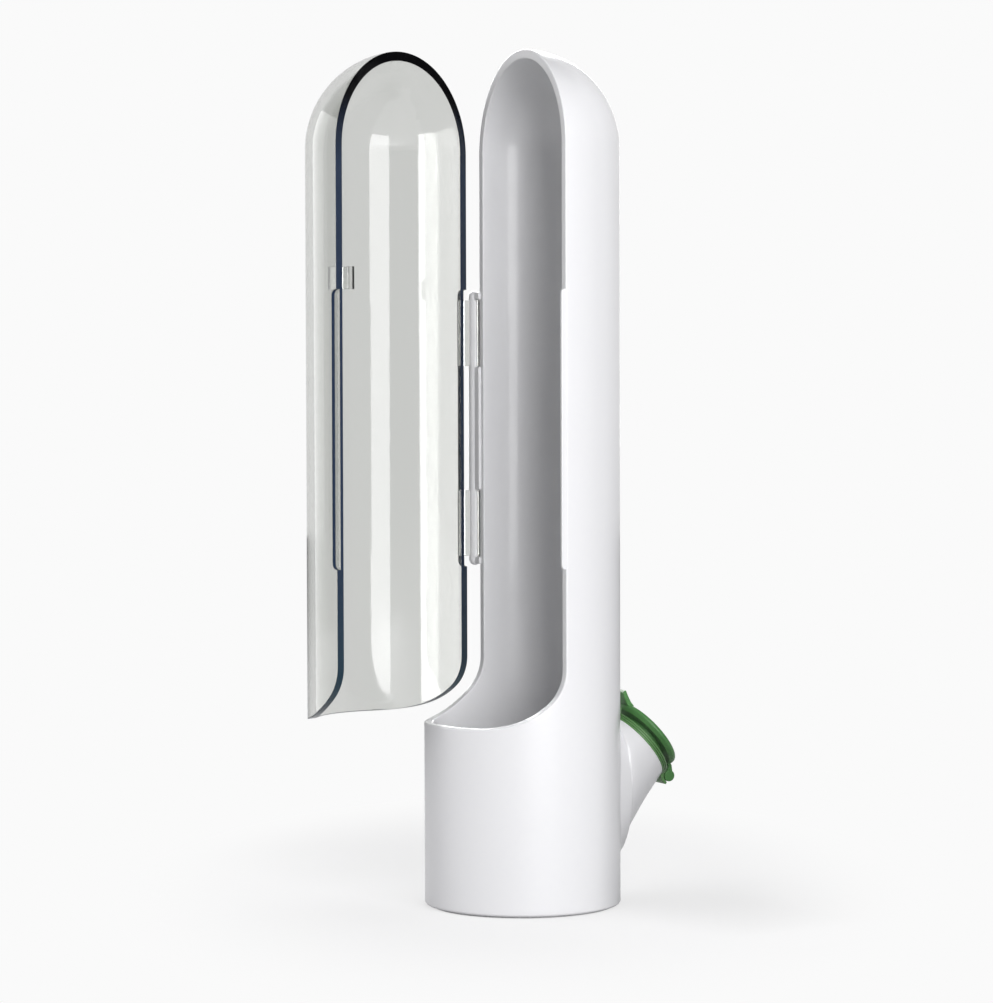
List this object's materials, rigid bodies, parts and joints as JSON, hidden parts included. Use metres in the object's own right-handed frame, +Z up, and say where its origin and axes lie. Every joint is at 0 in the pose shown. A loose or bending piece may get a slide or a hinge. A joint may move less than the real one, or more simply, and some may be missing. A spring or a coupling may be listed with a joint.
{
  "type": "herb keeper",
  "caption": "Tall capsule-shaped keeper for herbs and spears: white back and cup, clear hinged front door, low fill spout with a soft cap.",
  "frame": {"origin": "centre of the underside on the capsule's vertical axis, on the plane it stands on", "axes": "+Z up along the capsule; the opening and the door face -Y, the fill spout points to +Y, the door's hinge is on -X"},
  "size_m": [0.085, 0.1193, 0.2782],
  "materials": {
    "white_plastic": "gloss",
    "base_plastic": "satin",
    "clear_plastic": "gloss, clear",
    "green_silicone": "satin"
  },
  "bodies": {
    "keeper": {"body_shell": "white_plastic", "base_plate": "base_plastic", "cap_collar": "green_silicone"},
    "door": {"door_shell": "clear_plastic"},
    "lid": {"cap_lid": "green_silicone"}
  },
  "joints": [
    {"name": "door", "type": "hinge", "parent": "keeper", "child": "door", "pos_m": [-0.0357, 0, 0.15525], "axis": [0, 0, 1], "range_deg": [-114.4, 65.6]},
    {"name": "fill_lid", "type": "hinge", "parent": "keeper", "child": "lid", "pos_m": [0, 0.05292, 0.03938], "axis": [-1, 0, 0], "range_deg": [0, 120]}
  ]
}
